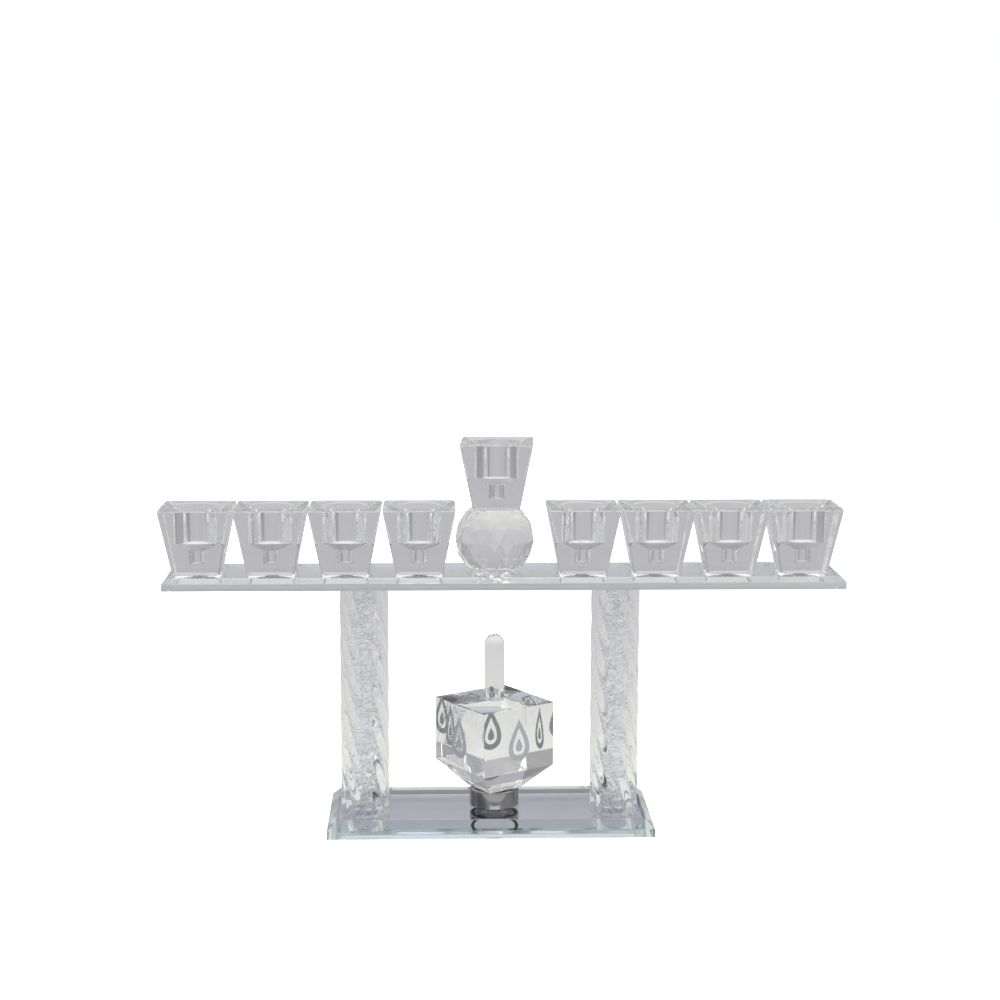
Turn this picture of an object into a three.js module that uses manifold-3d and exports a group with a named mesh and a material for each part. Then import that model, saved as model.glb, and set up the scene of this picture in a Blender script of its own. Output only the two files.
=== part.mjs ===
// A nine-light menorah in clear crystal glass, with a dreidel that spins between its two columns.
// Millimetres. +Z is up, -Y faces the viewer, and z = 0 is the table under the base.
import * as THREE from 'three';
import { ConvexGeometry } from 'three/addons/geometries/ConvexGeometry.js';
import { mergeVertices } from 'three/addons/utils/BufferGeometryUtils.js';
import Module from 'manifold-3d';

const wasm = await Module();
wasm.setup();

// Base: a glass plate with bevelled top edges on a silvered backing.
const BASE_LENGTH = 164;
const BASE_DEPTH = 64;
const BASE_TOP = 8.8;
const BASE_BEVEL = 4.4;
const BACKING_THICKNESS = 0.5;
const BACKING_INSET = 0.6;

// Columns: thick tubes with twisted flutes, filled with crushed glass.
const COLUMN_X = 63.6;
const COLUMN_RADIUS = 12.5;
const COLUMN_BORE_RADIUS = 6.3;
const FLUTE_COUNT = 12;
const FLUTE_DEPTH = 1;
const FLUTE_LEAD = 224;
const FILL_GAP = 0.3;
const FILL_HEADROOM = 1.5;

// Bar: a long plate like the base, glued a little to the right of the columns' middle.
const BAR_BOTTOM = 124;
const BAR_LENGTH = 339.6;
const BAR_DEPTH = 42.4;
const BAR_HEIGHT = 6.2;
const BAR_BEVEL = 2.5;
const BAR_X = 7.2;
const BAR_TOP = BAR_BOTTOM + BAR_HEIGHT;

// Candle cups: tapered square blocks, bored for a thick candle above and a thin one below.
const CUP_TOP_WIDTH = 36.7;
const CUP_BOTTOM_WIDTH = 23.6;
const CUP_CORNER_RADIUS = 3.6;
const CUP_HEIGHT = 33.3;
const CUP_PITCH = 37;
const CUPS_PER_SIDE = 4;
const LEFT_ROW_X = -146.6;
const RIGHT_ROW_X = 46.6;
const WIDE_BORE_RADIUS = 11.2;
const WIDE_BORE_DEPTH = 17;
const CONE_DEPTH = 3.6;
const NARROW_BORE_RADIUS = 4.2;
const NARROW_BORE_DEPTH = 7;

// Ball under the middle cup: rings of facet corners, from its lower flat to its upper flat.
const BALL_X = 2.2;
const BALL_RADIUS = 20;
const BALL_HEIGHT = 32.6;
const BALL_FACETS = 14;
const BALL_RING_LEVELS = [-16.3, -13.6, -8, 0, 8, 13.6, 16.3];
const BALL_TURN = -0.149;
const MIDDLE_CUP_X = 3.4;
const MIDDLE_CUP_TURN = -0.061;

// Dreidel: a crystal cube on a cut-off pyramid, with a round handle on top.
const DREIDEL_X = 2.3;
const DREIDEL_Y = -1.5;
const DREIDEL_TURN = THREE.MathUtils.degToRad(33.3);
const DREIDEL_WIDTH = 43.3;
const DREIDEL_TOP = 63.8;
const DREIDEL_WALL_BOTTOM = 31.1;
const DREIDEL_BOTTOM = 18;
const DREIDEL_FLAT_WIDTH = 19.3;
const HANDLE_RADIUS = 5.15;
const HANDLE_TOP = 97.8;

// Sealed ball bearing that the dreidel turns on.
const BEARING_RADIUS = 12.6;
const BEARING_HEIGHT = 8.8;
const BEARING_CHAMFER = 0.5;
const BEARING_BORE_RADIUS = 4;
const INNER_RING_RADIUS = 7;
const OUTER_RING_LAND = 9.6;
const INNER_RING_LIFT = 0.3;
const INNER_RING_HEIGHT = 8.6;
const PITCH_RADIUS = (INNER_RING_RADIUS + OUTER_RING_LAND) / 2;
const BALL_BEARING_RADIUS = 2;
const BALL_BEARING_COUNT = 8;
const RACE_RADIUS = 2.3;
const SEAL_SEAT_RADIUS = 10.4;
const SEAL_SEAT_DEPTH = 1;
const SEAL_THICKNESS = 0.6;
const SEAL_GAP = 0.3;
const CAGE_THICKNESS = 1.4;
const CAGE_BELOW = 3.1;
const CAGE_ABOVE = 1;
const SPINDLE_GAP = 0.15;
const SPINDLE_DEPTH = 7.5;
const SPINDLE_FLANGE_RADIUS = 5.6;

// Facets around round pieces.
const TUBE_STEPS = 16;
const SEGMENTS_PER_FLUTE = 3;
const TUBE_BORE_SEGMENTS = 16;
const BORE_SEGMENTS = 28;
const SMALL_SEGMENTS = 20;
const CORNER_SEGMENTS = 5;
const BALL_SEGMENTS = 12;
const RACE_STEPS = 6;

const menorah = new THREE.Group();

function material(color, roughness, metalness = 0) {
  return new THREE.MeshStandardMaterial({ color, roughness, metalness });
}

function crystal() {
  return material(0xdadce2, 0.03);
}

function silvering() {
  return material(0xa9afbb, 0.08, 1);
}

function crushedGlass() {
  return material(0xc9c9d6, 0.35);
}

function polishedSteel() {
  return material(0x6b6a70, 0.15, 1);
}

function blackRubber() {
  return material(0x17171a, 0.7);
}

function polyamide() {
  return material(0xd8d2bd, 0.5);
}

function addMesh(parent, name, geometry, surface, x = 0, y = 0, z = 0) {
  const mesh = new THREE.Mesh(geometry, surface);
  mesh.name = name;
  mesh.position.set(x, y, z);
  parent.add(mesh);
  return mesh;
}

function toManifold(geometry) {
  const bare = geometry.clone();
  bare.deleteAttribute('normal');
  bare.deleteAttribute('uv');
  const merged = mergeVertices(bare, 1e-4);
  const vertProperties = new Float32Array(merged.attributes.position.array);
  const triVerts = new Uint32Array(merged.index.array);
  return new wasm.Manifold(new wasm.Mesh({ numProp: 3, vertProperties, triVerts }));
}

function fromManifold(solid) {
  const mesh = solid.getMesh();
  const geometry = new THREE.BufferGeometry();
  geometry.setAttribute('position', new THREE.BufferAttribute(mesh.vertProperties, 3));
  geometry.setIndex(new THREE.BufferAttribute(mesh.triVerts, 1));
  geometry.computeVertexNormals();
  return geometry;
}

// A solid of revolution about +Z from [radius, height] pairs that close on the axis or on themselves.
function turned(profile, segments) {
  const points = profile.map(([radius, height]) => new THREE.Vector2(radius, height));
  return new THREE.LatheGeometry(points, segments).rotateX(Math.PI / 2);
}

function box(length, depth, height) {
  return new THREE.BoxGeometry(length, depth, height).translate(0, 0, height / 2);
}

function rectangleCorners(length, depth, z) {
  const signs = [[-1, -1], [1, -1], [1, 1], [-1, 1]];
  return signs.map(([sx, sy]) => new THREE.Vector3(sx * length / 2, sy * depth / 2, z));
}

// A rectangular plate with its top edges ground away at 45 degrees; the back edge has its own bevel.
function bevelledPlate(length, depth, height, bevel, backBevel) {
  const top = rectangleCorners(length - 2 * bevel, depth - bevel - backBevel, height);
  for (const corner of top) corner.y += (bevel - backBevel) / 2;
  return new ConvexGeometry([
    ...rectangleCorners(length, depth, 0),
    ...rectangleCorners(length, depth, height - bevel),
    ...top,
  ]);
}

function flutedOutline() {
  const shape = new THREE.Shape();
  const count = FLUTE_COUNT * SEGMENTS_PER_FLUTE;
  for (let i = 0; i < count; i += 1) {
    const angle = 2 * Math.PI * i / count;
    const swell = Math.abs(Math.sin(FLUTE_COUNT * angle / 2));
    const radius = COLUMN_RADIUS - FLUTE_DEPTH * (1 - swell);
    const x = radius * Math.cos(angle);
    const y = radius * Math.sin(angle);
    if (i === 0) {
      shape.moveTo(x, y);
    } else {
      shape.lineTo(x, y);
    }
  }
  return shape;
}

// The flutes turn with height; the round bore turns with them and stays where it is.
function twistedTube(height) {
  const shape = flutedOutline();
  const bore = new THREE.Path().absarc(0, 0, COLUMN_BORE_RADIUS, 0, 2 * Math.PI, true);
  shape.holes.push(bore);
  const geometry = new THREE.ExtrudeGeometry(shape, {
    depth: height,
    steps: TUBE_STEPS,
    curveSegments: TUBE_BORE_SEGMENTS / 2,
    bevelEnabled: false,
  });
  const position = geometry.attributes.position;
  const point = new THREE.Vector3();
  const up = new THREE.Vector3(0, 0, 1);
  for (let i = 0; i < position.count; i += 1) {
    point.fromBufferAttribute(position, i);
    point.applyAxisAngle(up, -2 * Math.PI * point.z / FLUTE_LEAD);
    position.setXYZ(i, point.x, point.y, point.z);
  }
  return geometry;
}

function roundedSquare(width, radius) {
  const half = width / 2;
  const inner = half - radius;
  const shape = new THREE.Shape();
  shape.absarc(inner, inner, radius, 0, Math.PI / 2);
  shape.absarc(-inner, inner, radius, Math.PI / 2, Math.PI);
  shape.absarc(-inner, -inner, radius, Math.PI, 3 * Math.PI / 2);
  shape.absarc(inner, -inner, radius, 3 * Math.PI / 2, 2 * Math.PI);
  return shape;
}

function taperedBlock() {
  const geometry = new THREE.ExtrudeGeometry(roundedSquare(CUP_TOP_WIDTH, CUP_CORNER_RADIUS), {
    depth: CUP_HEIGHT,
    curveSegments: CORNER_SEGMENTS,
    bevelEnabled: false,
  });
  const position = geometry.attributes.position;
  for (let i = 0; i < position.count; i += 1) {
    const rise = position.getZ(i) / CUP_HEIGHT;
    const scale = THREE.MathUtils.lerp(CUP_BOTTOM_WIDTH / CUP_TOP_WIDTH, 1, rise);
    position.setX(i, position.getX(i) * scale);
    position.setY(i, position.getY(i) * scale);
  }
  return geometry;
}

function candleBore() {
  const step = CUP_HEIGHT - WIDE_BORE_DEPTH;
  const coneEnd = step - CONE_DEPTH;
  const overshoot = 2;
  return turned([
    [0, coneEnd - NARROW_BORE_DEPTH],
    [NARROW_BORE_RADIUS, coneEnd - NARROW_BORE_DEPTH],
    [NARROW_BORE_RADIUS, coneEnd],
    [WIDE_BORE_RADIUS, step],
    [WIDE_BORE_RADIUS, CUP_HEIGHT + overshoot],
    [0, CUP_HEIGHT + overshoot],
  ], BORE_SEGMENTS);
}

function candleCup() {
  return fromManifold(toManifold(taperedBlock()).subtract(toManifold(candleBore())));
}

// Corners of neighbouring rings alternate, so their hull is cut into triangular facets.
function facetedBall() {
  const points = [];
  BALL_RING_LEVELS.forEach((level, ring) => {
    const radius = Math.sqrt(BALL_RADIUS ** 2 - level ** 2);
    for (let i = 0; i < BALL_FACETS; i += 1) {
      const turn = i + (ring % 2) / 2;
      const angle = BALL_TURN - Math.PI / 2 + 2 * Math.PI * turn / BALL_FACETS;
      points.push(new THREE.Vector3(radius * Math.cos(angle), radius * Math.sin(angle), level));
    }
  });
  return new ConvexGeometry(points);
}

function addBase() {
  const backing = box(BASE_LENGTH - 2 * BACKING_INSET, BASE_DEPTH - 2 * BACKING_INSET, BACKING_THICKNESS);
  addMesh(menorah, 'base_mirror', backing, silvering());
  const plate = bevelledPlate(BASE_LENGTH, BASE_DEPTH, BASE_TOP - BACKING_THICKNESS, BASE_BEVEL, BASE_BEVEL);
  addMesh(menorah, 'base_plate', plate, crystal(), 0, 0, BACKING_THICKNESS);
}

function addColumns() {
  const height = BAR_BOTTOM - BASE_TOP;
  for (const [side, sign] of [['left', -1], ['right', 1]]) {
    const x = sign * COLUMN_X;
    addMesh(menorah, `column_${side}`, twistedTube(height), crystal(), x, 0, BASE_TOP);
    const fillHeight = height - FILL_HEADROOM;
    const fillRadius = COLUMN_BORE_RADIUS - FILL_GAP;
    const fill = turned([[0, 0], [fillRadius, 0], [fillRadius, fillHeight], [0, fillHeight]], SMALL_SEGMENTS);
    addMesh(menorah, `crystal_chips_${side}`, fill, crushedGlass(), x, 0, BASE_TOP);
  }
}

function addBar() {
  const backing = box(BAR_LENGTH - 2 * BACKING_INSET, BAR_DEPTH - 2 * BACKING_INSET, BACKING_THICKNESS);
  addMesh(menorah, 'bar_mirror', backing, silvering(), BAR_X, 0, BAR_BOTTOM);
  const plate = bevelledPlate(BAR_LENGTH, BAR_DEPTH, BAR_HEIGHT - BACKING_THICKNESS, BAR_BEVEL, 0);
  addMesh(menorah, 'bar_plate', plate, crystal(), BAR_X, 0, BAR_BOTTOM + BACKING_THICKNESS);
}

function addCups() {
  for (let i = 0; i < CUPS_PER_SIDE; i += 1) {
    const leftX = LEFT_ROW_X + i * CUP_PITCH;
    const rightX = RIGHT_ROW_X + i * CUP_PITCH;
    addMesh(menorah, `candle_cup_${i + 1}`, candleCup(), crystal(), leftX, 0, BAR_TOP);
    addMesh(menorah, `candle_cup_${i + 1 + CUPS_PER_SIDE}`, candleCup(), crystal(), rightX, 0, BAR_TOP);
  }
}

function addMiddleLight() {
  addMesh(menorah, 'shamash_ball', facetedBall(), crystal(), BALL_X, 0, BAR_TOP + BALL_HEIGHT / 2);
  const middleCup = candleCup().rotateZ(MIDDLE_CUP_TURN);
  addMesh(menorah, 'shamash_cup', middleCup, crystal(), MIDDLE_CUP_X, 0, BAR_TOP + BALL_HEIGHT);
}

// Points of a half-circle race groove, from its lower edge to its upper edge.
function raceGroove(land, sign) {
  const reach = Math.acos(Math.abs(land - PITCH_RADIUS) / RACE_RADIUS);
  const points = [];
  for (let i = 0; i <= RACE_STEPS; i += 1) {
    const angle = -reach + 2 * reach * i / RACE_STEPS;
    points.push([PITCH_RADIUS + sign * RACE_RADIUS * Math.cos(angle), RACE_RADIUS * Math.sin(angle)]);
  }
  return points;
}

// Heights are measured from the plane of the ball centres.
function outerRing() {
  const half = BEARING_HEIGHT / 2;
  const seat = half - SEAL_SEAT_DEPTH;
  return turned([
    [OUTER_RING_LAND, -seat],
    [SEAL_SEAT_RADIUS, -seat],
    [SEAL_SEAT_RADIUS, -half],
    [BEARING_RADIUS - BEARING_CHAMFER, -half],
    [BEARING_RADIUS, BEARING_CHAMFER - half],
    [BEARING_RADIUS, half - BEARING_CHAMFER],
    [BEARING_RADIUS - BEARING_CHAMFER, half],
    [SEAL_SEAT_RADIUS, half],
    [SEAL_SEAT_RADIUS, seat],
    [OUTER_RING_LAND, seat],
    ...raceGroove(OUTER_RING_LAND, 1).reverse(),
    [OUTER_RING_LAND, -seat],
  ], BORE_SEGMENTS);
}

function innerRing() {
  const bottom = INNER_RING_LIFT - BEARING_HEIGHT / 2;
  const top = bottom + INNER_RING_HEIGHT;
  return turned([
    [BEARING_BORE_RADIUS, bottom],
    [INNER_RING_RADIUS, bottom],
    ...raceGroove(INNER_RING_RADIUS, -1),
    [INNER_RING_RADIUS, top],
    [BEARING_BORE_RADIUS, top],
    [BEARING_BORE_RADIUS, bottom],
  ], BORE_SEGMENTS);
}

function seal() {
  const inside = INNER_RING_RADIUS + SEAL_GAP;
  return turned([
    [inside, 0],
    [SEAL_SEAT_RADIUS - SPINDLE_GAP, 0],
    [SEAL_SEAT_RADIUS - SPINDLE_GAP, SEAL_THICKNESS],
    [inside, SEAL_THICKNESS],
    [inside, 0],
  ], BORE_SEGMENTS);
}

function ballAngle(index) {
  return 2 * Math.PI * index / BALL_BEARING_COUNT;
}

// A crown cage: pockets open upwards and a web under the balls joins its teeth.
function cage() {
  const inside = PITCH_RADIUS - CAGE_THICKNESS / 2;
  const outside = PITCH_RADIUS + CAGE_THICKNESS / 2;
  const band = turned([
    [inside, -CAGE_BELOW],
    [outside, -CAGE_BELOW],
    [outside, CAGE_ABOVE],
    [inside, CAGE_ABOVE],
    [inside, -CAGE_BELOW],
  ], BORE_SEGMENTS);
  let solid = toManifold(band);
  for (let i = 0; i < BALL_BEARING_COUNT; i += 1) {
    const pocket = new THREE.SphereGeometry(RACE_RADIUS, BALL_SEGMENTS, BALL_SEGMENTS / 2);
    pocket.translate(PITCH_RADIUS * Math.cos(ballAngle(i)), PITCH_RADIUS * Math.sin(ballAngle(i)), 0);
    solid = solid.subtract(toManifold(pocket));
  }
  return fromManifold(solid);
}

function addBearing(centre) {
  addMesh(centre, 'bearing_outer_ring', outerRing(), polishedSteel());
  addMesh(centre, 'bearing_inner_ring', innerRing(), polishedSteel());
  const sealSeat = BEARING_HEIGHT / 2 - SEAL_SEAT_DEPTH;
  addMesh(centre, 'bearing_seal_upper', seal(), blackRubber(), 0, 0, sealSeat);
  addMesh(centre, 'bearing_seal_lower', seal(), blackRubber(), 0, 0, -sealSeat - SEAL_THICKNESS);
  addMesh(centre, 'bearing_cage', cage(), polyamide());
  for (let i = 0; i < BALL_BEARING_COUNT; i += 1) {
    const ball = new THREE.SphereGeometry(BALL_BEARING_RADIUS, BALL_SEGMENTS, BALL_SEGMENTS / 2);
    const x = PITCH_RADIUS * Math.cos(ballAngle(i));
    const y = PITCH_RADIUS * Math.sin(ballAngle(i));
    addMesh(centre, `bearing_ball_${i + 1}`, ball, polishedSteel(), x, y, 0);
  }
}

function dreidelBody() {
  return new ConvexGeometry([
    ...rectangleCorners(DREIDEL_WIDTH, DREIDEL_WIDTH, DREIDEL_TOP),
    ...rectangleCorners(DREIDEL_WIDTH, DREIDEL_WIDTH, DREIDEL_WALL_BOTTOM),
    ...rectangleCorners(DREIDEL_FLAT_WIDTH, DREIDEL_FLAT_WIDTH, DREIDEL_BOTTOM),
  ]);
}

function handle() {
  const domeSteps = 6;
  const shoulder = HANDLE_TOP - HANDLE_RADIUS;
  const profile = [[0, DREIDEL_TOP], [HANDLE_RADIUS, DREIDEL_TOP]];
  for (let i = 0; i < domeSteps; i += 1) {
    const angle = Math.PI / 2 * i / domeSteps;
    profile.push([HANDLE_RADIUS * Math.cos(angle), shoulder + HANDLE_RADIUS * Math.sin(angle)]);
  }
  profile.push([0, HANDLE_TOP]);
  return turned(profile, SMALL_SEGMENTS);
}

// The spindle's pin fills the inner ring and its flange carries the dreidel clear of the outer ring.
function spindle() {
  const flangeBottom = BASE_TOP + INNER_RING_LIFT + INNER_RING_HEIGHT;
  const pinRadius = BEARING_BORE_RADIUS - SPINDLE_GAP;
  return turned([
    [0, flangeBottom - SPINDLE_DEPTH],
    [pinRadius, flangeBottom - SPINDLE_DEPTH],
    [pinRadius, flangeBottom],
    [SPINDLE_FLANGE_RADIUS, flangeBottom],
    [SPINDLE_FLANGE_RADIUS, DREIDEL_BOTTOM],
    [0, DREIDEL_BOTTOM],
  ], BORE_SEGMENTS);
}

function addDreidel() {
  const bearing = new THREE.Group();
  bearing.position.set(DREIDEL_X, DREIDEL_Y, BASE_TOP + BEARING_HEIGHT / 2);
  menorah.add(bearing);
  addBearing(bearing);
  const dreidel = new THREE.Group();
  dreidel.position.set(DREIDEL_X, DREIDEL_Y, 0);
  dreidel.rotation.z = DREIDEL_TURN;
  menorah.add(dreidel);
  addMesh(dreidel, 'dreidel_body', dreidelBody(), crystal());
  addMesh(dreidel, 'dreidel_handle', handle(), crystal());
  addMesh(dreidel, 'dreidel_spindle', spindle(), polishedSteel());
}

addBase();
addColumns();
addBar();
addCups();
addMiddleLight();
addDreidel();

export default menorah;
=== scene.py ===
import math
import random

import bmesh
import bpy
from mathutils import Euler, Matrix, Vector


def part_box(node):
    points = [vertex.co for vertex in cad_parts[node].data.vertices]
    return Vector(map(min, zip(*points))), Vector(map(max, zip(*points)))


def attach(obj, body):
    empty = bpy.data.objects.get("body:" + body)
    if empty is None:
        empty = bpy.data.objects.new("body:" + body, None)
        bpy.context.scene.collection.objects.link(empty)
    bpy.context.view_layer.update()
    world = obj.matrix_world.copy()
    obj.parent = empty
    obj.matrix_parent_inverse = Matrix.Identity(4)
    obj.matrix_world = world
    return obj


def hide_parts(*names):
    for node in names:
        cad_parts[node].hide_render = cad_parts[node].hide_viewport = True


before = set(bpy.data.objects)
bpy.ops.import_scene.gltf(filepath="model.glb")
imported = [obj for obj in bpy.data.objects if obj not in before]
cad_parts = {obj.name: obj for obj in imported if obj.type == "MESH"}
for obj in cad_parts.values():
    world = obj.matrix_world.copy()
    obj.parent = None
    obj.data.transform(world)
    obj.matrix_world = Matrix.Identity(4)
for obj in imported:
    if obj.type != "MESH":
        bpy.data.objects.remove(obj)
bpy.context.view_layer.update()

# Lengths are in metres: MM turns a size in millimetres into metres.
MM = 0.001

# Camera: a long lens a little left of the middle, looking slightly down. Its angles are in degrees.
CAMERA_PLACE = Vector((-27.6, -974.9, 317.9)) * MM
CAMERA_YAW = 1.91
CAMERA_PITCH = 8.845
CAMERA_ROLL = 0.165
CAMERA_LENS = 70.8
CAMERA_SENSOR = 36.0
CAMERA_NEAR = 0.05
CAMERA_FAR = 50.0

# How often light may bounce: with fewer, the deepest facets of the clear glass go black.
# The last value is the brightest that one sample of bounced light may be.
GLASS_BOUNCES = 96
MIRROR_BOUNCES = 64
MATT_BOUNCES = 12
SEE_THROUGH_BOUNCES = 16
BRIGHTEST_SAMPLE = 8.0

# How finely round shapes are divided.
ROUND = 96
CORNER_POINTS = 10
SIDE_POINTS = 22
FLUTE_POINTS = 10
COLUMN_STEPS = 96
RACE_STEPS = 14
DOME_STEPS = 16
FLAME_POINTS = 40

# Edges between flatter faces than this are shaded smooth, in degrees.
CUP_SMOOTH = 25
FLUTE_SMOOTH = 22
TURNED_SMOOTH = 30
FLAT_FACE_WEIGHT = 80

# Eased edges, and how far glued pieces of glass reach into each other, so that no air shows between them.
EDGE = 0.25 * MM
GLUE = 0.02 * MM

# Faces at less than this angle, in radians, are one flat side, and points nearer than this are one.
FLAT_ANGLE = 0.002
SAME_POINT = 0.025 * MM

# Plates, and the silvering under them.
BASE_BEVEL = 4.4 * MM
BAR_BEVEL = 2.5 * MM
SILVERING_THICKNESS = 0.1 * MM

# Candle cups: tapered square blocks, bored for a thick candle above and a thin one below.
CUP_TOP_WIDTH = 36.7 * MM
CUP_TAPER = 23.6 / 36.7
CUP_CORNER_RADIUS = 3.6 * MM
CUP_RIM_EDGE = 0.6 * MM
MIDDLE_CUP_TURN = math.radians(-3.5)
WIDE_BORE_RADIUS = 11.2 * MM
WIDE_BORE_DEPTH = 17 * MM
CONE_DEPTH = 3.6 * MM
NARROW_BORE_RADIUS = 4.2 * MM
NARROW_BORE_DEPTH = 7 * MM

# Columns: tubes with twisted flutes.
FLUTE_COUNT = 12
FLUTE_DEPTH = 1 * MM
FLUTE_LEAD = 224 * MM
FILL_GAP = 0.3 * MM

# Crushed crystal: splinters in layers, each layer an outer and an inner ring of them.
# A ring is its radius as a share of the pile's, and how many splinters it holds.
CHIP_SEEDS = {"left": 15, "right": 16}
CHIP_KINDS = 24
CHIP_CORNERS = 9
CHIP_CORNER_REACH = (0.38, 0.5)
CHIP_RINGS = ((0.86, 12), (0.42, 5))
CHIP_LAYER = 1.15 * MM
CHIP_SIZE = (1.8 * MM, 3.2 * MM)
CHIP_BREADTH = (0.55, 0.9)
CHIP_THICKNESS = (0.45, 0.8)
CHIP_STRAY_ANGLE = 0.25
CHIP_STRAY_INWARDS = 0.9
CHIP_STRAY_HEIGHT = 0.4 * MM
CHIP_END_GAP = 0.6 * MM
CHIP_WALL_GAP = 0.05 * MM

# Dreidel: a cube on a cut-off pyramid.
DREIDEL_TURN = math.radians(33.3)
DREIDEL_WIDTH = 43.3 * MM
DREIDEL_WALL = 32.7 * MM
DREIDEL_FLAT = 19.3 * MM

# Flame on each wall of the dreidel: its outline, the hole in it and the drop in the hole.
FLAME_SIZE = (14 * MM, 22 * MM)
FLAME_HOLE_SIZE = (8.12 * MM, 14.52 * MM)
FLAME_HOLE_LOWERED = 0.9 * MM
FLAME_DROP_SIZE = (4.4 * MM, 7 * MM)
FLAME_DROP_LOWERED = 2.6 * MM
FLAME_FULLNESS = 1.3
FLAME_TAPER = 1.5
FLAME_PROUD = 0.02 * MM
FLAME_SUNK = 0.06 * MM

# Sealed ball bearing.
BEARING_BORE_RADIUS = 4 * MM
OUTER_RING_LAND = 9.6 * MM
OUTER_RING_EDGE = 0.5 * MM
INNER_RING_EDGE = 0.3 * MM
RACE_RADIUS = 2.3 * MM
SEAL_SEAT_DEPTH = 1 * MM
SEAL_GAP = 0.3 * MM
SEAL_EDGE = 0.12 * MM

# Glass: its refraction, and two nearly clear tints and polishes that it varies between.
GLASS_IOR = 1.52
GLASS_TINT = (0.988, 0.992, 0.986)
GLASS_CLOUD = (0.996, 0.998, 0.995)
GLASS_POLISH = (0.0, 0.01)

# Plate glass is faintly green through its depth.
PLATE_TINT = (0.50, 0.92, 0.84)
PLATE_DENSITY = 2.0

# Every noise has the same character and differs only in scale, in waves per metre.
NOISE_DETAIL = 3.0
NOISE_ROUGHNESS = 0.55

# Tints of the studio's walls, below and above this sine of the height above the horizon.
LAVENDER = (1.0, 0.985, 1.05)
CEILING = (1.0, 1.0, 1.0)
CEILING_START = 0.5

# Studio light as (sine of the height above the horizon, brightness), by side.
BACK_WALL = [(0.0, 0.48), (0.12, 0.48), (0.16, 0.43), (0.183, 0.45), (0.186, 0.62), (0.1915, 0.62),
             (0.194, 0.42), (0.200, 0.42), (0.204, 0.46), (0.30, 0.48), (0.312, 0.60), (0.33, 0.60),
             (0.345, 0.46), (0.36, 0.38), (0.48, 0.43), (0.55, 0.50), (0.62, 0.66), (0.66, 1.2),
             (0.71, 1.9), (0.735, 1.0), (0.75, 0.72), (0.78, 0.60), (0.80, 0.33), (0.82, 0.25),
             (0.85, 0.42), (0.88, 0.62), (0.91, 0.50), (1.0, 0.66)]
LEFT_WALL = [(0.0, 0.43), (0.10, 0.26), (0.17, 0.37), (0.23, 0.24), (0.30, 0.29), (0.42, 0.37),
             (0.50, 0.29), (0.60, 0.49), (0.70, 0.45), (0.80, 0.51), (0.90, 1.05), (1.0, 0.66)]
RIGHT_WALL = [(0.0, 0.43), (0.12, 0.26), (0.20, 0.41), (0.28, 0.58), (0.33, 0.68), (0.40, 0.56),
              (0.50, 0.76), (0.60, 0.87), (0.68, 0.51), (0.80, 0.53), (0.90, 1.05), (1.0, 0.66)]
FRONT_WALL = [(0.0, 0.62), (0.10, 0.60), (0.16, 0.46), (0.20, 0.78), (0.25, 0.46), (0.29, 0.76),
              (0.33, 1.5), (0.37, 0.95), (0.42, 0.37), (0.47, 0.36), (0.54, 0.76), (0.60, 0.48),
              (0.64, 0.48), (0.70, 0.90), (0.76, 1.15), (0.83, 2.4), (0.87, 1.5), (0.91, 0.80), (1.0, 1.7)]
CORNER_WALL = [(0.0, 0.36), (0.05, 0.33), (0.075, 0.25), (0.12, 0.38), (0.16, 0.46), (0.44, 0.46),
               (0.50, 0.33), (0.58, 0.36), (0.66, 0.48), (0.80, 0.56), (1.0, 0.78)]

# Each wall going round, and where the one before it turns into it, as shares of a full
# turn that starts at the front.
WALLS = [(LEFT_WALL, 0.09, 0.13), (CORNER_WALL, 0.339, 0.361), (BACK_WALL, 0.406, 0.419),
         (CORNER_WALL, 0.606, 0.622), (RIGHT_WALL, 0.639, 0.661), (FRONT_WALL, 0.87, 0.91)]

# Painted light: the light that the floor gives off to glass and mirrors, bright beside the object and fading
# with distance from it, in metres.
FLOOR_FADE = [(0.0, (0.90, 0.93, 0.88)), (0.15, (0.74, 0.745, 0.715)), (0.25, (0.67, 0.67, 0.66)),
              (0.35, (0.63, 0.63, 0.63)), (0.50, (0.56, 0.56, 0.56)), (0.70, (0.525, 0.525, 0.54)),
              (1.0, (0.515, 0.51, 0.52)), (1.6, (0.48, 0.475, 0.50)), (5.0, (0.51, 0.505, 0.535))]
FLOOR_FADE_END = 5.0
FLOOR_HALF_WIDTH = 9.0
FLOOR_GREY = 0.9
FLOOR_ROUGHNESS = 0.9

# The studio is this much brighter, as a share, for light that has already met a matt surface.
MATT_LIFT = 0.85


# ---------------------------------------------------------------- meshes

def linked(name, mesh):
    """A new object in the scene that shows this mesh."""
    thing = bpy.data.objects.new(name, mesh)
    bpy.context.scene.collection.objects.link(thing)
    return thing


def mesh_object(name, verts, faces, smooth_angle=None):
    """A new object from vertices and faces; edges flatter than smooth_angle are shaded smooth."""
    mesh = bpy.data.meshes.new(name)
    mesh.from_pydata([tuple(v) for v in verts], [], faces)
    mesh.validate()
    thing = linked(name, mesh)
    if smooth_angle is not None:
        mesh.shade_smooth()
        mesh.set_sharp_from_angle(angle=math.radians(smooth_angle))
        weighted = thing.modifiers.new("flat_faces", "WEIGHTED_NORMAL")
        weighted.keep_sharp = True
        weighted.weight = FLAT_FACE_WEIGHT
    return thing


def bmesh_object(name, bm):
    """A new object from a bmesh, which is freed."""
    mesh = bpy.data.meshes.new(name)
    bm.to_mesh(mesh)
    bm.free()
    return linked(name, mesh)


def wrap(bm):
    """Wraps a bmesh's points in their convex hull, with each flat side as one face."""
    bmesh.ops.convex_hull(bm, input=bm.verts)
    bmesh.ops.dissolve_limit(bm, angle_limit=FLAT_ANGLE, verts=bm.verts, edges=bm.edges)


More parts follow.
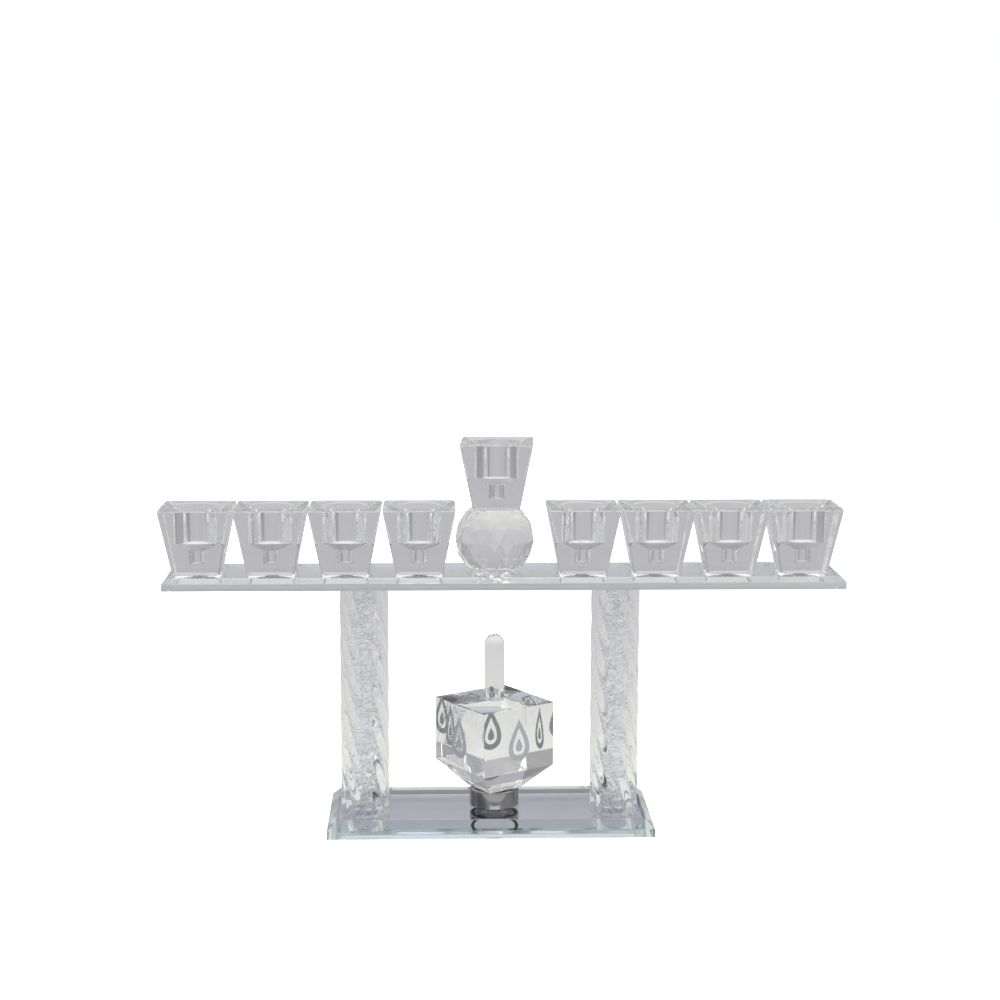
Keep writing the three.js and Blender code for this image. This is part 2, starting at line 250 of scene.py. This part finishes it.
def add_part(verts, faces, part_verts, part_faces):
    """Adds a part's points and faces to the lists that a bigger mesh is made from."""
    first = len(verts)
    verts.extend(part_verts)
    faces.extend(tuple(first + k for k in face) for face in part_faces)


def lofted(rings, closed=False):
    """Points and faces of rings, each joined to the next; a last ring of one point is a tip.

    Closed joins the last ring to the first, and otherwise a face closes each end.
    """
    verts = []
    starts = []
    for ring in rings:
        starts.append(len(verts))
        verts.extend(ring)
    pairs = list(zip(range(len(rings) - 1), range(1, len(rings))))
    if closed:
        pairs.append((len(rings) - 1, 0))
    faces = []
    for lower, upper in pairs:
        a, b = starts[lower], starts[upper]
        count = len(rings[lower])
        for i in range(count):
            j = (i + 1) % count
            if len(rings[upper]) == 1:
                faces.append((a + i, a + j, b))
            else:
                faces.append((a + i, a + j, b + j, b + i))
    if not closed:
        faces.append(tuple(reversed(range(len(rings[0])))))
    if not closed and len(rings[-1]) > 1:
        faces.append(tuple(starts[-1] + i for i in range(len(rings[-1]))))
    return verts, faces


def loft(name, rings, closed=False, smooth_angle=None):
    """A new object from lofted rings."""
    verts, faces = lofted(rings, closed)
    return mesh_object(name, verts, faces, smooth_angle)


def even_angles(count):
    return [2 * math.pi * i / count for i in range(count)]


def circle(radius, z, centre, angles):
    return [(centre[0] + radius * math.cos(a), centre[1] + radius * math.sin(a), z) for a in angles]


def lathe(name, profile, centre, closed=False):
    """Turned about a vertical axis from (radius, height) pairs that run outwards, up and back."""
    rings = []
    for radius, z in profile:
        if radius == 0:
            rings.append([(centre[0], centre[1], z)])
        else:
            rings.append(circle(radius, z, centre, even_angles(ROUND)))
    return loft(name, rings, closed, TURNED_SMOOTH)


def corner_point(inner, radius, quarter, angle):
    """A point on a rounded corner of a square about the origin; quarter 0 is the +X +Y corner."""
    cx = inner * (1 if quarter % 4 in (0, 3) else -1)
    cy = inner * (1 if quarter % 4 in (0, 1) else -1)
    return Vector((cx + radius * math.cos(angle), cy + radius * math.sin(angle)))


def rounded_square(width, radius):
    """A square about the origin: CORNER_POINTS on each rounded corner and SIDE_POINTS between them."""
    inner = width / 2 - radius
    points = []
    for quarter in range(4):
        start = quarter * math.pi / 2
        for i in range(CORNER_POINTS):
            angle = start + math.pi / 2 * i / (CORNER_POINTS - 1)
            points.append(corner_point(inner, radius, quarter, angle))
        corner_end = points[-1]
        next_start = corner_point(inner, radius, quarter + 1, start + math.pi / 2)
        for i in range(1, SIDE_POINTS + 1):
            points.append(corner_end.lerp(next_start, i / (SIDE_POINTS + 1)))
    return points


def clipped_rectangle(length, depth, z, centre, back):
    """A rectangle whose four corners are cut off by a small flat, and whose back is moved out by back."""
    x, y = length / 2, depth / 2
    b = y + back
    points = [(x, -y + EDGE), (x, b - EDGE), (x - EDGE, b), (-x + EDGE, b),
              (-x, b - EDGE), (-x, -y + EDGE), (-x + EDGE, -y), (x - EDGE, -y)]
    return [(centre[0] + px, centre[1] + py, z) for px, py in points]


def box_of(node):
    """A CAD node's lowest and highest corners, and its centre seen from above."""
    low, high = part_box(node)
    return low, high, ((low.x + high.x) / 2, (low.y + high.y) / 2)


def coat(thing, material):
    """Makes this the object's only material."""
    thing.data.materials.clear()
    thing.data.materials.append(material)


def place(piece, body, slot, material, *nodes):
    """Gives a piece its material and body, and lets it stand for CAD nodes; its slot is not used."""
    coat(piece, material)
    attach(piece, body)
    if nodes:
        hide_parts(*nodes)


# ---------------------------------------------------------------- materials

def new_material(name):
    """A material, its nodes, its shader and the coordinates that its noises use."""
    material = bpy.data.materials.new(name)
    material.use_nodes = True
    tree = material.node_tree
    coords = tree.nodes.new("ShaderNodeTexCoord")
    return material, tree, tree.nodes["Principled BSDF"], coords.outputs["Object"]


def noise(tree, coords, scale):
    node = tree.nodes.new("ShaderNodeTexNoise")
    node.inputs["Scale"].default_value = scale
    node.inputs["Detail"].default_value = NOISE_DETAIL
    node.inputs["Roughness"].default_value = NOISE_ROUGHNESS
    tree.links.new(coords, node.inputs["Vector"])
    return node.outputs["Fac"]


def ramp(tree, fac, stops):
    """A colour ramp from (position, colour) pairs; a colour may be one grey number."""
    node = tree.nodes.new("ShaderNodeValToRGB")
    elements = node.color_ramp.elements
    while len(elements) < len(stops):
        elements.new(0.5)
    for element, (position, colour) in zip(elements, stops):
        colour = (colour,) * 3 if isinstance(colour, (int, float)) else colour
        element.position = position
        element.color = (*colour, 1)
    tree.links.new(fac, node.inputs["Fac"])
    return node.outputs["Color"]


def vary(tree, shader, socket, field, stops):
    """Lets a noise move one of the shader's inputs through these stops."""
    tree.links.new(ramp(tree, field, stops), shader.inputs[socket])


def mix(tree, factor, first, second):
    node = tree.nodes.new("ShaderNodeMix")
    node.data_type = "RGBA"
    tree.links.new(factor, node.inputs["Factor"])
    tree.links.new(first, node.inputs["A"])
    tree.links.new(second, node.inputs["B"])
    return node.outputs["Result"]


def bump(tree, shader, height, strength, distance):
    node = tree.nodes.new("ShaderNodeBump")
    node.inputs["Strength"].default_value = strength
    node.inputs["Distance"].default_value = distance
    tree.links.new(height, node.inputs["Height"])
    tree.links.new(node.outputs["Normal"], shader.inputs["Normal"])


def glass(name):
    """Clear glass: faint colour clouds and a polish that varies a little."""
    material, tree, shader, coords = new_material(name)
    smoothest, roughest = GLASS_POLISH
    shader.inputs["Transmission Weight"].default_value = 1.0
    shader.inputs["IOR"].default_value = GLASS_IOR
    vary(tree, shader, "Base Color", noise(tree, coords, 35.0), [(0.3, GLASS_TINT), (0.7, GLASS_CLOUD)])
    vary(tree, shader, "Roughness", noise(tree, coords, 120.0), [(0.4, smoothest), (0.75, roughest)])
    return material


def plate_glass():
    """Clear glass with a tint that grows with its depth."""
    material = glass("plate_crystal")
    tree = material.node_tree
    volume = tree.nodes.new("ShaderNodeVolumeAbsorption")
    volume.inputs["Color"].default_value = (*PLATE_TINT, 1)
    volume.inputs["Density"].default_value = PLATE_DENSITY
    tree.links.new(volume.outputs["Volume"], tree.nodes["Material Output"].inputs["Volume"])
    return material


def ground_glass():
    """Glass left matt by the drill: it scatters light and looks whitish."""
    material, tree, shader, coords = new_material("ground_crystal")
    shader.inputs["IOR"].default_value = GLASS_IOR
    grain = noise(tree, coords, 1500.0)
    vary(tree, shader, "Base Color", grain, [(0.3, (0.96, 0.96, 0.94)), (0.7, (1.0, 1.0, 0.98))])
    vary(tree, shader, "Roughness", grain, [(0.3, 0.35), (0.7, 0.55)])
    return material


def silver(name, dull, bright):
    """Silvering seen through the glass on it, with a faintly uneven shine."""
    material, tree, shader, coords = new_material(name)
    shader.inputs["Metallic"].default_value = 1.0
    vary(tree, shader, "Base Color", noise(tree, coords, 60.0), [(0.3, dull), (0.7, bright)])
    vary(tree, shader, "Roughness", noise(tree, coords, 200.0), [(0.3, 0.02), (0.8, 0.06)])
    return material


def crushed_crystal():
    """Splinters that scatter most of the light and glint a little."""
    material, tree, shader, coords = new_material("crushed_crystal")
    shader.inputs["IOR"].default_value = GLASS_IOR
    vary(tree, shader, "Base Color", noise(tree, coords, 700.0), [
        (0.28, (0.70, 0.70, 0.77)), (0.42, (0.93, 0.93, 0.97)), (0.7, (0.98, 0.98, 1.0))])
    vary(tree, shader, "Roughness", noise(tree, coords, 500.0), [(0.35, 0.02), (0.65, 0.12)])
    return material


def steel():
    """Ground steel with a faintly uneven polish."""
    material, tree, shader, coords = new_material("bearing_steel")
    shader.inputs["Metallic"].default_value = 1.0
    shader.inputs["Anisotropic"].default_value = 0.4
    tangent = tree.nodes.new("ShaderNodeTangent")
    tangent.direction_type = "RADIAL"
    tangent.axis = "Z"
    tree.links.new(tangent.outputs["Tangent"], shader.inputs["Tangent"])
    vary(tree, shader, "Base Color", noise(tree, coords, 90.0), [
        (0.3, (0.33, 0.32, 0.31)), (0.7, (0.38, 0.37, 0.36))])
    vary(tree, shader, "Roughness", noise(tree, coords, 150.0), [(0.3, 0.12), (0.7, 0.16)])
    return material


def rubber():
    """Black seal rubber with a fine grain."""
    material, tree, shader, coords = new_material("seal_rubber")
    grain = noise(tree, coords, 2500.0)
    vary(tree, shader, "Base Color", grain, [(0.3, 0.006), (0.7, 0.014)])
    vary(tree, shader, "Roughness", noise(tree, coords, 300.0), [(0.3, 0.45), (0.7, 0.65)])
    bump(tree, shader, grain, 0.3, 0.05 * MM)
    return material


def cage_plastic():
    """Natural moulded plastic, unevenly yellowish."""
    material, tree, shader, coords = new_material("cage_plastic")
    shader.inputs["Roughness"].default_value = 0.5
    vary(tree, shader, "Base Color", noise(tree, coords, 400.0), [
        (0.3, (0.62, 0.57, 0.42)), (0.7, (0.70, 0.65, 0.50))])
    return material


def sandblasted():
    """Sandblasted glass: a grey, rough skin that scatters light."""
    material, tree, shader, coords = new_material("sandblasted")
    grain = noise(tree, coords, 4000.0)
    vary(tree, shader, "Base Color", grain, [(0.3, (0.30, 0.32, 0.34)), (0.7, (0.36, 0.38, 0.40))])
    vary(tree, shader, "Roughness", grain, [(0.3, 0.5), (0.7, 0.8)])
    bump(tree, shader, grain, 0.4, 0.03 * MM)
    return material


# ---------------------------------------------------------------- pieces

def plate(name, bevel, back_bevel, clear, silvered):
    """A bevelled glass plate and the thin silvering under it, sunk a hair into the glass."""
    mirror_low, _, _ = box_of(name + "_mirror")
    low, high, centre = box_of(name + "_plate")
    length, depth = high.x - low.x, high.y - low.y
    bottom = mirror_low.z + SILVERING_THICKNESS
    shoulder = high.z - bevel
    ease = EDGE / 2
    levels = [(bottom, ease), (bottom + ease, 0), (shoulder - ease, 0), (shoulder + ease, ease),
              (high.z - ease, bevel - ease), (high.z, bevel + ease)]
    rings = []
    for z, inset in levels:
        back = inset - min(inset, back_bevel + ease)
        rings.append(clipped_rectangle(length - 2 * inset, depth - 2 * inset, z, centre, back))
    place(loft(name + "_crystal", rings), "stand", "clear_crystal", clear, name + "_plate")
    sheet_size = (length - 2 * EDGE, depth - 2 * EDGE)
    rings = [clipped_rectangle(*sheet_size, z, centre, 0) for z in (mirror_low.z, bottom + GLUE)]
    place(loft(name + "_silvering", rings), "stand", "silvered_backing", silvered, name + "_mirror")


def cup(node, turn, clear, ground):
    """A tapered block with rounded edges, bored wide above and narrow below."""
    low, high, centre = box_of(node)
    height = high.z - low.z
    cos, sin = math.cos(turn), math.sin(turn)
    rim = CUP_RIM_EDGE

    def outline(rise, inset):
        scale = CUP_TAPER + (1 - CUP_TAPER) * rise / height
        square = rounded_square(CUP_TOP_WIDTH * scale - 2 * inset, CUP_CORNER_RADIUS * scale - inset)
        return [(centre[0] + p.x * cos - p.y * sin, centre[1] + p.x * sin + p.y * cos, low.z + rise)
                for p in square]

    angles = [math.atan2(y - centre[1], x - centre[0]) for x, y, _ in outline(height, 0)]
    step = high.z - WIDE_BORE_DEPTH
    cone_end = step - CONE_DEPTH
    floor_z = cone_end - NARROW_BORE_DEPTH
    bore = [(WIDE_BORE_RADIUS + rim, high.z), (WIDE_BORE_RADIUS, high.z - rim), (WIDE_BORE_RADIUS, step),
            (NARROW_BORE_RADIUS, cone_end), (NARROW_BORE_RADIUS, floor_z + EDGE),
            (NARROW_BORE_RADIUS - EDGE, floor_z)]
    rings = [outline(-GLUE, EDGE), outline(EDGE, 0), outline(height - rim, 0), outline(height, rim)]
    rings += [circle(radius, z, centre, angles) for radius, z in bore]
    piece = loft(node + "_crystal", rings, smooth_angle=CUP_SMOOTH)
    place(piece, "stand", "clear_crystal", clear, node)
    grind_bore(piece, ground, centre, step, cone_end, floor_z)


def grind_bore(piece, ground, centre, step, cone_end, floor_z):
    """Leaves the cone between a cup's two bores, and the lower bore's floor, matt."""
    piece.data.materials.append(ground)
    for face in piece.data.polygons:
        middle = face.center
        away = math.hypot(middle.x - centre[0], middle.y - centre[1])
        in_cone = away < WIDE_BORE_RADIUS and cone_end - EDGE < middle.z < step
        at_floor = away < NARROW_BORE_RADIUS and abs(middle.z - floor_z) < 2 * EDGE
        if in_cone or at_floor:
            face.material_index = 1


def ball(clear):
    """The CAD ball's facets, a hair taller so that the glue joints above and below are clear."""
    low, high, _ = box_of("shamash_ball")
    bm = bmesh.new()
    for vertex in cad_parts["shamash_ball"].data.vertices:
        p = vertex.co.copy()
        if p.z < low.z + EDGE:
            p.z -= GLUE
        if p.z > high.z - EDGE:
            p.z += GLUE
        bm.verts.new(p)
    bmesh.ops.remove_doubles(bm, verts=bm.verts, dist=SAME_POINT)
    wrap(bm)
    place(bmesh_object("shamash_ball_crystal", bm), "stand", "clear_crystal", clear, "shamash_ball")


def column(side, clear, chips):
    """A twisted, fluted tube, and the crushed crystal that fills its bore."""
    low, high, centre = box_of("column_" + side)
    radius = (high.x - low.x) / 2
    fill_low, fill_high, _ = box_of("crystal_chips_" + side)
    bore = (fill_high.x - fill_low.x) / 2 + FILL_GAP
    angles = even_angles(FLUTE_COUNT * FLUTE_POINTS)
    radii = [radius - FLUTE_DEPTH * (1 - abs(math.sin(FLUTE_COUNT * a / 2))) for a in angles]

    def twisted(z):
        twist = -2 * math.pi * (z - low.z) / FLUTE_LEAD
        return [a + twist for a in angles]

    def fluted(z):
        return [(centre[0] + r * math.cos(a), centre[1] + r * math.sin(a), z)
                for r, a in zip(radii, twisted(z))]

    bottom, top = low.z - GLUE, high.z + GLUE
    heights = [bottom + (top - bottom) * i / COLUMN_STEPS for i in range(COLUMN_STEPS + 1)]
    rings = [fluted(z) for z in heights] + [circle(bore, z, centre, twisted(z)) for z in reversed(heights)]
    tube = loft("column_%s_crystal" % side, rings, closed=True, smooth_angle=FLUTE_SMOOTH)
    place(tube, "stand", "clear_crystal", clear, "column_" + side)
    rng = random.Random(CHIP_SEEDS[side])
    pile = chip_pile("crushed_crystal_" + side, rng, centre, bore - CHIP_WALL_GAP, fill_low.z, high.z)
    place(pile, "stand", "crushed_crystal", chips, "crystal_chips_" + side)


def splinters(rng):
    """Irregular convex splinters about one unit across, each as its points and faces."""
    shapes = []
    for _ in range(CHIP_KINDS):
        bm = bmesh.new()
        for _ in range(CHIP_CORNERS):
            direction = Vector([rng.gauss(0, 1) for _ in range(3)]).normalized()
            bm.verts.new(direction * rng.uniform(*CHIP_CORNER_REACH))
        bmesh.ops.convex_hull(bm, input=bm.verts)
        bmesh.ops.delete(bm, geom=[v for v in bm.verts if not v.link_faces], context="VERTS")
        bm.verts.index_update()
        points = [v.co.copy() for v in bm.verts]
        shapes.append((points, [tuple(v.index for v in f.verts) for f in bm.faces]))
        bm.free()
    return shapes


def chip(rng, shapes, centre, angle, reach, z):
    """One splinter near this place, with a random size, shape and turn."""
    size = rng.uniform(*CHIP_SIZE)
    angle += rng.uniform(-CHIP_STRAY_ANGLE, CHIP_STRAY_ANGLE)
    reach *= rng.uniform(CHIP_STRAY_INWARDS, 1)
    turn = Euler([rng.uniform(0, 2 * math.pi) for _ in range(3)]).to_matrix()
    stretch = Matrix.Diagonal((1, rng.uniform(*CHIP_BREADTH), rng.uniform(*CHIP_THICKNESS)))
    z += rng.uniform(-CHIP_STRAY_HEIGHT, CHIP_STRAY_HEIGHT)
    here = Vector((centre[0] + reach * math.cos(angle), centre[1] + reach * math.sin(angle), z))
    points, faces = rng.choice(shapes)
    return [here + turn @ (stretch @ p) * size for p in points], faces


def kept_inside(p, centre, radius, bottom, top):
    """The point, pulled back to the bore's wall or ends if it lies past them."""
    across = Vector((p.x - centre[0], p.y - centre[1]))
    if across.length > radius:
        across *= radius / across.length
    return (centre[0] + across.x, centre[1] + across.y, min(max(p.z, bottom), top))


def chip_pile(name, rng, centre, radius, bottom, top):
    """Splinters packed in layers inside the bore, without passing its wall."""
    shapes = splinters(rng)
    verts, faces = [], []
    z = bottom + CHIP_END_GAP
    while z < top - CHIP_END_GAP:
        for share, count in CHIP_RINGS:
            start = rng.uniform(0, 2 * math.pi)
            for i in range(count):
                angle = start + 2 * math.pi * i / count
                points, sides = chip(rng, shapes, centre, angle, radius * share, z)
                add_part(verts, faces, [kept_inside(p, centre, radius, bottom, top) for p in points], sides)
        z += CHIP_LAYER
    return mesh_object(name, verts, faces)


def dreidel_axis():
    """Where the dreidel's upright axis is, seen from above: its handle is round."""
    return box_of("dreidel_handle")[2]


def dreidel_body(clear):
    """A cube on a cut-off pyramid, with every edge eased."""
    low, high, _ = box_of("dreidel_body")
    bm = bmesh.new()
    for z, width in ((high.z, DREIDEL_WIDTH), (high.z - DREIDEL_WALL, DREIDEL_WIDTH), (low.z, DREIDEL_FLAT)):
        for sx, sy in ((-1, -1), (1, -1), (1, 1), (-1, 1)):
            bm.verts.new((sx * width / 2, sy * width / 2, z))
    wrap(bm)
    bmesh.ops.bevel(bm, geom=bm.edges[:], offset=EDGE, segments=1, affect="EDGES")
    bm.transform(Matrix.Translation((*dreidel_axis(), 0)) @ Matrix.Rotation(DREIDEL_TURN, 4, "Z"))
    place(bmesh_object("dreidel_crystal", bm), "dreidel", "clear_crystal", clear, "dreidel_body")


def flame_outline(size, lowered=0):
    """A flame's outline as (across, up) pairs, pointed at the top and round at the bottom."""
    width, height = size
    points = []
    for t in even_angles(FLAME_POINTS):
        across = width / 2 * FLAME_FULLNESS * math.sin(t) * math.sin(t / 2) ** FLAME_TAPER
        points.append((across, height / 2 * math.cos(t) - lowered))
    return points


def on_wall(outline, depth):
    """An outline laid in the dreidel's front wall, this far into the glass."""
    return [Vector((x, depth - DREIDEL_WIDTH / 2, z)) for x, z in outline]


def dreidel_flames(skin):
    """A plain flame sandblasted into each wall: an outline, and a small drop inside it."""
    _, high, _ = box_of("dreidel_body")
    middle = high.z - DREIDEL_WALL / 2
    flame = flame_outline(FLAME_SIZE)
    hole = flame_outline(FLAME_HOLE_SIZE, FLAME_HOLE_LOWERED)
    drop = flame_outline(FLAME_DROP_SIZE, FLAME_DROP_LOWERED)
    band = [on_wall(flame, -FLAME_PROUD), on_wall(flame, FLAME_SUNK),
            on_wall(hole, FLAME_SUNK), on_wall(hole, -FLAME_PROUD)]
    parts = [lofted(band, closed=True), lofted([on_wall(drop, -FLAME_PROUD), on_wall(drop, FLAME_SUNK)])]
    verts, faces = [], []
    for quarter in range(4):
        turn = Matrix.Rotation(DREIDEL_TURN + quarter * math.pi / 2, 4, "Z")
        carry = Matrix.Translation((*dreidel_axis(), middle)) @ turn
        for part_verts, part_faces in parts:
            add_part(verts, faces, [carry @ v for v in part_verts], part_faces)
    piece = mesh_object("dreidel_flames", verts, faces)
    bm = bmesh.new()
    bm.from_mesh(piece.data)
    bmesh.ops.recalc_face_normals(bm, faces=bm.faces)
    bm.to_mesh(piece.data)
    bm.free()
    place(piece, "dreidel", "clear_crystal", skin)


def dreidel_handle(clear):
    """A round rod with a domed top."""
    low, high, centre = box_of("dreidel_handle")
    radius = (high.x - low.x) / 2
    shoulder = high.z - radius
    profile = [(radius - EDGE, low.z - GLUE), (radius, low.z + EDGE), (radius, shoulder)]
    for i in range(1, DOME_STEPS):
        a = math.pi / 2 * i / DOME_STEPS
        profile.append((radius * math.cos(a), shoulder + radius * math.sin(a)))
    profile.append((0, high.z))
    piece = lathe("dreidel_handle_crystal", profile, centre)
    place(piece, "dreidel", "clear_crystal", clear, "dreidel_handle")


def race_groove(pitch, middle, land, sign):
    """Points of the round groove that the balls run in, from its lower edge to its upper edge.

    The sign is 1 for the ring outside the balls and -1 for the ring inside them.
    """
    reach = math.acos(abs(land - pitch) / RACE_RADIUS)
    angles = [reach * (2 * i / RACE_STEPS - 1) for i in range(RACE_STEPS + 1)]
    return [(pitch + sign * RACE_RADIUS * math.cos(a), middle + RACE_RADIUS * math.sin(a)) for a in angles]


def outer_ring(metal, seat, pitch, middle):
    """The fixed ring: seats for both seals, and a groove for the balls between them."""
    low, high, centre = box_of("bearing_outer_ring")
    outside = (high.x - low.x) / 2
    edge, lip = OUTER_RING_EDGE, SEAL_EDGE
    lower, upper = low.z + SEAL_SEAT_DEPTH, high.z - SEAL_SEAT_DEPTH
    profile = [(seat, low.z + lip), (seat + lip, low.z), (outside - edge, low.z),
               (outside, low.z + edge), (outside, high.z - edge), (outside - edge, high.z),
               (seat + lip, high.z), (seat, high.z - lip), (seat, upper), (OUTER_RING_LAND, upper)]
    profile += reversed(race_groove(pitch, middle, OUTER_RING_LAND, 1))
    profile += [(OUTER_RING_LAND, lower), (seat, lower)]
    piece = lathe("bearing_outer", profile, centre, closed=True)
    place(piece, "stand", "bearing_steel", metal, "bearing_outer_ring")


def inner_ring(metal, pitch, middle):
    """The turning ring, with its own groove for the balls."""
    low, high, centre = box_of("bearing_inner_ring")
    inside, outside = BEARING_BORE_RADIUS, (high.x - low.x) / 2
    edge = INNER_RING_EDGE
    profile = [(inside, low.z + edge), (inside + edge, low.z), (outside - edge, low.z),
               (outside, low.z + edge)]
    profile += race_groove(pitch, middle, outside, -1)
    profile += [(outside, high.z - edge), (outside - edge, high.z), (inside + edge, high.z),
                (inside, high.z - edge)]
    piece = lathe("bearing_inner", profile, centre, closed=True)
    place(piece, "dreidel", "bearing_steel", metal, "bearing_inner_ring")


def seal(level, black):
    """A plain turned washer with eased edges, just clear of the ring that turns."""
    low, high, centre = box_of("bearing_seal_" + level)
    hub_low, hub_high, _ = box_of("bearing_inner_ring")
    inside = (hub_high.x - hub_low.x) / 2 + SEAL_GAP
    outside = (high.x - low.x) / 2
    edge = SEAL_EDGE
    profile = [(inside + edge, low.z), (outside - edge, low.z), (outside, low.z + edge),
               (outside, high.z - edge), (outside - edge, high.z), (inside + edge, high.z),
               (inside, high.z - edge), (inside, low.z + edge)]
    piece = lathe("seal_" + level, profile, centre, closed=True)
    place(piece, "stand", "seal_rubber", black, "bearing_seal_" + level)


def bearing(metal, black, plastic):
    """Finer rings and seals, and new materials for the CAD's cage, balls and spindle."""
    seal_low, seal_high, axis = box_of("bearing_seal_upper")
    ball_low, ball_high, ball_centre = box_of("bearing_ball_1")
    pitch = math.dist(ball_centre, axis)
    middle = (ball_low.z + ball_high.z) / 2
    outer_ring(metal, (seal_high.x - seal_low.x) / 2, pitch, middle)
    inner_ring(metal, pitch, middle)
    seal("upper", black)
    seal("lower", black)
    coat(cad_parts["bearing_cage"], plastic)
    for name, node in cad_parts.items():
        if name.startswith("bearing_ball_") or name == "dreidel_spindle":
            coat(node, metal)


# ---------------------------------------------------------------- stage

def plain(tree, grey):
    """A constant grey."""
    node = tree.nodes.new("ShaderNodeRGB")
    node.outputs[0].default_value = (grey, grey, grey, 1)
    return node.outputs[0]


def progress(tree, value, start, end, interpolation="LINEAR"):
    """How far a value has gone from start to end, as 0 to 1."""
    node = tree.nodes.new("ShaderNodeMapRange")
    node.interpolation_type = interpolation
    node.inputs["From Min"].default_value = start
    node.inputs["From Max"].default_value = end
    tree.links.new(value, node.inputs["Value"])
    return node.outputs["Result"]


def wall(tree, height, stops):
    """A wall's colour by height, lavender near the horizon and white overhead."""
    coloured = []
    for z, grey in stops:
        tint = LAVENDER if z < CEILING_START else CEILING
        coloured.append((z, tuple(grey * part for part in tint)))
    return ramp(tree, height, coloured)


def lifted(tree, path):
    """The brightness: 1, or more for light that has already met a matt surface."""
    node = tree.nodes.new("ShaderNodeMapRange")
    node.inputs["To Min"].default_value = 1.0
    node.inputs["To Max"].default_value = 1.0 + MATT_LIFT
    tree.links.new(path.outputs["Diffuse Depth"], node.inputs["Value"])
    return node.outputs["Result"]


def world_light():
    """White to the camera; to glass and mirrors, a studio with a grey backdrop and uneven walls."""
    world = bpy.data.worlds.new("studio")
    bpy.context.scene.world = world
    world.use_nodes = True
    tree = world.node_tree
    coords = tree.nodes.new("ShaderNodeTexCoord")
    split = tree.nodes.new("ShaderNodeSeparateXYZ")
    tree.links.new(coords.outputs["Generated"], split.inputs["Vector"])
    azimuth = tree.nodes.new("ShaderNodeMath")
    azimuth.operation = "ARCTAN2"
    tree.links.new(split.outputs["X"], azimuth.inputs[0])
    tree.links.new(split.outputs["Y"], azimuth.inputs[1])
    turn = progress(tree, azimuth.outputs[0], -math.pi, math.pi)
    height = split.outputs["Z"]
    colour = wall(tree, height, FRONT_WALL)
    for stops, start, end in WALLS:
        share = progress(tree, turn, start, end, "SMOOTHSTEP")
        colour = mix(tree, share, colour, wall(tree, height, stops))
    path = tree.nodes.new("ShaderNodeLightPath")
    seen = mix(tree, path.outputs["Is Camera Ray"], colour, plain(tree, 1))
    tree.links.new(seen, tree.nodes["Background"].inputs["Color"])
    tree.links.new(lifted(tree, path), tree.nodes["Background"].inputs["Strength"])


def pale_floor():
    """Glows nearly white to the camera; to glass and mirrors it gives off painted light that fades to the
    backdrop's grey with distance.
    """
    mesh = bpy.data.meshes.new("floor")
    half = FLOOR_HALF_WIDTH
    corners = [(-half, -half, 0), (half, -half, 0), (half, half, 0), (-half, half, 0)]
    mesh.from_pydata(corners, [], [(0, 1, 2, 3)])
    material, tree, shader, coords = new_material("pale_floor")
    distance = tree.nodes.new("ShaderNodeVectorMath")
    distance.operation = "LENGTH"
    tree.links.new(coords, distance.inputs[0])
    away = progress(tree, distance.outputs["Value"], 0, FLOOR_FADE_END)
    # Painted light: the floor glows brightest beside the object and dimmer with distance.
    painted_floor_light = ramp(tree, away, [(reach / FLOOR_FADE_END, colour) for reach, colour in FLOOR_FADE])
    path = tree.nodes.new("ShaderNodeLightPath")
    by_camera = path.outputs["Is Camera Ray"]
    lit = mix(tree, by_camera, plain(tree, 0), plain(tree, FLOOR_GREY))
    glow = mix(tree, by_camera, painted_floor_light, plain(tree, 1))
    tree.links.new(lit, shader.inputs["Base Color"])
    tree.links.new(glow, shader.inputs["Emission Color"])
    tree.links.new(lifted(tree, path), shader.inputs["Emission Strength"])
    shader.inputs["Roughness"].default_value = FLOOR_ROUGHNESS
    mesh.materials.append(material)
    thing = linked("floor", mesh)


def camera():
    """The camera, aimed by its yaw, pitch and roll."""
    data = bpy.data.cameras.new("camera")
    data.lens = CAMERA_LENS
    data.sensor_width = CAMERA_SENSOR
    data.clip_start = CAMERA_NEAR
    data.clip_end = CAMERA_FAR
    thing = linked("camera", data)
    thing.location = CAMERA_PLACE
    look = Matrix.Rotation(-math.radians(CAMERA_YAW), 3, "Z")
    look = look @ Matrix.Rotation(math.radians(90 - CAMERA_PITCH), 3, "X")
    look = look @ Matrix.Rotation(math.radians(CAMERA_ROLL), 3, "Z")
    thing.rotation_mode = "QUATERNION"
    thing.rotation_quaternion = look.to_quaternion()
    bpy.context.scene.camera = thing


def light_paths():
    """Enough bounces for clear glass, and colours shown as they are."""
    scene = bpy.context.scene
    scene.view_settings.view_transform = "Standard"
    scene.cycles.max_bounces = GLASS_BOUNCES
    scene.cycles.transmission_bounces = GLASS_BOUNCES
    scene.cycles.glossy_bounces = MIRROR_BOUNCES
    scene.cycles.diffuse_bounces = MATT_BOUNCES
    scene.cycles.transparent_max_bounces = SEE_THROUGH_BOUNCES
    scene.cycles.sample_clamp_indirect = BRIGHTEST_SAMPLE
    scene.cycles.use_denoising = True


# ---------------------------------------------------------------- the scene

camera()
world_light()
pale_floor()
light_paths()

clear = glass("clear_crystal")
plates = plate_glass()
base_silver = silver("base_silvering", (0.74, 0.76, 0.80), (0.80, 0.81, 0.84))
bar_silver = silver("bar_silvering", (0.94, 0.95, 0.96), (0.98, 0.98, 0.98))
plate("base", BASE_BEVEL, BASE_BEVEL, plates, base_silver)
plate("bar", BAR_BEVEL, 0, plates, bar_silver)
chips = crushed_crystal()
ground = ground_glass()
for side in ("left", "right"):
    column(side, clear, chips)
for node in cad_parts:
    if node.startswith("candle_cup_"):
        cup(node, 0, clear, ground)
cup("shamash_cup", MIDDLE_CUP_TURN, clear, ground)
ball(clear)
dreidel_body(clear)
dreidel_flames(sandblasted())
dreidel_handle(clear)
bearing(steel(), rubber(), cage_plastic())
